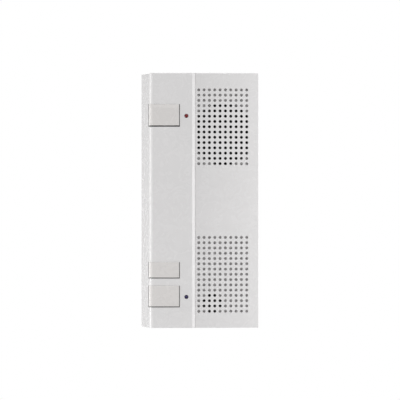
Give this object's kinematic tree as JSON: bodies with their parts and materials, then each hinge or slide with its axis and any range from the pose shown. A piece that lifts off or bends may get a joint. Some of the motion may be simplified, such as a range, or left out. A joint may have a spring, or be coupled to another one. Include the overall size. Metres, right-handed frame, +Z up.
{
  "type": "alarm siren",
  "caption": "Slim wall-mounted indoor alarm siren: white housing with perforated speaker and sounder grilles, push keys, indicator lamps and a hinged front on a wall plate.",
  "frame": {"origin": "middle of the wall plate's flat rear face, which lies on the wall", "axes": "+Y into the wall, so the front faces -Y; +X to the right as seen from the front; +Z up"},
  "size_m": [0.0886, 0.0285, 0.192],
  "materials": {
    "housing_white": "fine-textured moulded white ABS",
    "key_white": "smooth moulded white ABS, slightly warmer than the housing",
    "plate_plastic": "moulded white ABS, plain",
    "terminal_green": "moulded green polyamide",
    "zinc_steel": "bright zinc plate",
    "stainless_steel": "plain stainless",
    "pressed_steel": "black e-coat on pressed steel",
    "nickel_brass": "nickel plated",
    "spring_bronze": "phosphor bronze strip",
    "gold_plate": "thin gold plate",
    "copper_wire": "enamelled copper winding on a paper former",
    "label_film": "blank satin film",
    "board_green": "solder mask over glass epoxy",
    "board_brown": "phenolic strip with tinned tags",
    "black_plastic": "moulded black",
    "black_rubber": "soft silicone rubber",
    "foam_black": "closed-cell foam",
    "surround_rubber": "thin butyl",
    "capacitor_can": "bright can in a dark sleeve",
    "ferrite": "ground ferrite",
    "relay_case": "moulded cream",
    "trimmer_blue": "moulded blue",
    "trimmer_white": "moulded white",
    "switch_cap": "moulded red",
    "cone_paper": "pressed black paper",
    "spider_cloth": "resin-treated cloth",
    "connector_white": "moulded natural polyamide",
    "lead_sleeve": "insulated wire",
    "chip_epoxy": "moulded epoxy with tinned legs",
    "lens_red": "clear tinted epoxy",
    "lens_blue": "clear tinted epoxy"
  },
  "bodies": {
    "base": {"wall_plate": "plate_plastic", "terminal_block": "terminal_green", "terminal_fixing_screws": "zinc_steel", "terminal_screws": "zinc_steel", "wire_clamps": "nickel_brass", "contact_springs": "spring_bronze", "rating_label": "label_film"},
    "front_unit": {"front_cover": "housing_white", "circuit_board": "board_green", "board_screws": "zinc_steel", "lamp_spacers": "black_plastic", "piezo_sounder": "black_plastic", "sounder_boot": "black_rubber", "electrolytic_capacitors": "capacitor_can", "power_inductor": "ferrite", "relay": "relay_case", "contact_pads": "gold_plate", "trimmer_body": "trimmer_blue", "tamper_switch_body": "black_plastic", "speaker_frame": "pressed_steel", "speaker_top_plate": "zinc_steel", "speaker_magnet": "ferrite", "speaker_yoke": "zinc_steel", "speaker_surround": "surround_rubber", "speaker_spider": "spider_cloth", "speaker_gasket": "foam_black", "speaker_clamps": "zinc_steel", "speaker_clamp_screws": "zinc_steel", "speaker_terminals": "board_brown", "board_header": "connector_white", "lead_plug": "connector_white", "speaker_leads": "lead_sleeve", "amplifier_chip": "chip_epoxy", "microcontroller": "chip_epoxy", "red_lamp": "lens_red", "blue_lamp": "lens_blue", "upper_switch_body": "black_plastic", "middle_switch_body": "black_plastic", "lower_switch_body": "black_plastic"},
    "speaker_diaphragm": {"speaker_cone": "cone_paper", "dust_cap": "cone_paper", "voice_coil": "copper_wire"},
    "volume_rotor": {"trimmer_rotor": "trimmer_white"},
    "tamper_pin": {"tamper_plunger": "trimmer_white"},
    "lock_screw": {"lock_screw": "stainless_steel"},
    "lock_nut": {"lock_nut": "zinc_steel"},
    "upper_key": {"upper_key": "key_white", "upper_key_carrier": "black_plastic"},
    "upper_plunger": {"upper_switch_plunger": "switch_cap"},
    "middle_key": {"middle_key": "key_white", "middle_key_carrier": "black_plastic"},
    "middle_plunger": {"middle_switch_plunger": "switch_cap"},
    "lower_key": {"lower_key": "key_white", "lower_key_carrier": "black_plastic"},
    "lower_plunger": {"lower_switch_plunger": "switch_cap"}
  },
  "joints": [
    {"name": "cover_swing", "type": "hinge", "parent": "base", "child": "front_unit", "pos_m": [0, -0.0016, 0.0949], "axis": [-1, 0, 0], "range_deg": [0, 70]},
    {"name": "cone_travel", "type": "slide", "parent": "front_unit", "child": "speaker_diaphragm", "axis": [0, -1, 0], "range_m": [-0.0005, 0.0005], "stiffness_N_per_m": 900, "deforming": ["speaker_surround", "speaker_spider"]},
    {"name": "upper_key_press", "type": "slide", "parent": "front_unit", "child": "upper_key", "axis": [0, 1, 0], "range_m": [0, 0.0008], "stiffness_N_per_m": 1500},
    {"name": "upper_plunger_press", "type": "slide", "parent": "front_unit", "child": "upper_plunger", "axis": [0, 1, 0], "range_m": [0, 0.0008]},
    {"name": "middle_key_press", "type": "slide", "parent": "front_unit", "child": "middle_key", "axis": [0, 1, 0], "range_m": [0, 0.0008], "stiffness_N_per_m": 1500},
    {"name": "middle_plunger_press", "type": "slide", "parent": "front_unit", "child": "middle_plunger", "axis": [0, 1, 0], "range_m": [0, 0.0008]},
    {"name": "lower_key_press", "type": "slide", "parent": "front_unit", "child": "lower_key", "axis": [0, 1, 0], "range_m": [0, 0.0008], "stiffness_N_per_m": 1500},
    {"name": "lower_plunger_press", "type": "slide", "parent": "front_unit", "child": "lower_plunger", "axis": [0, 1, 0], "range_m": [0, 0.0008]},
    {"name": "volume_turn", "type": "hinge", "parent": "front_unit", "child": "volume_rotor", "pos_m": [0.03025, -0.01, -0.012], "axis": [0, 1, 0], "range_deg": [-135, 135]},
    {"name": "tamper_release", "type": "slide", "parent": "front_unit", "child": "tamper_pin", "axis": [0, 1, 0], "range_m": [0, 0.002], "stiffness_N_per_m": 150},
    {"name": "lock_turn", "type": "hinge", "parent": "front_unit", "child": "lock_screw", "pos_m": [0, -0.0075, -0.09], "axis": [0, 0, 1], "range_deg": [0, 360]},
    {"name": "lock_nut_travel", "type": "slide", "parent": "front_unit", "child": "lock_nut", "axis": [0, 0, 1], "range_m": [0, 0.0005]}
  ],
  "couplings": [
    {"joint": "upper_plunger_press", "follows": "upper_key_press", "ratio": 1},
    {"joint": "middle_plunger_press", "follows": "middle_key_press", "ratio": 1},
    {"joint": "lower_plunger_press", "follows": "lower_key_press", "ratio": 1},
    {"joint": "lock_turn", "follows": "lock_nut_travel", "rad_per_m": 12566}
  ]
}
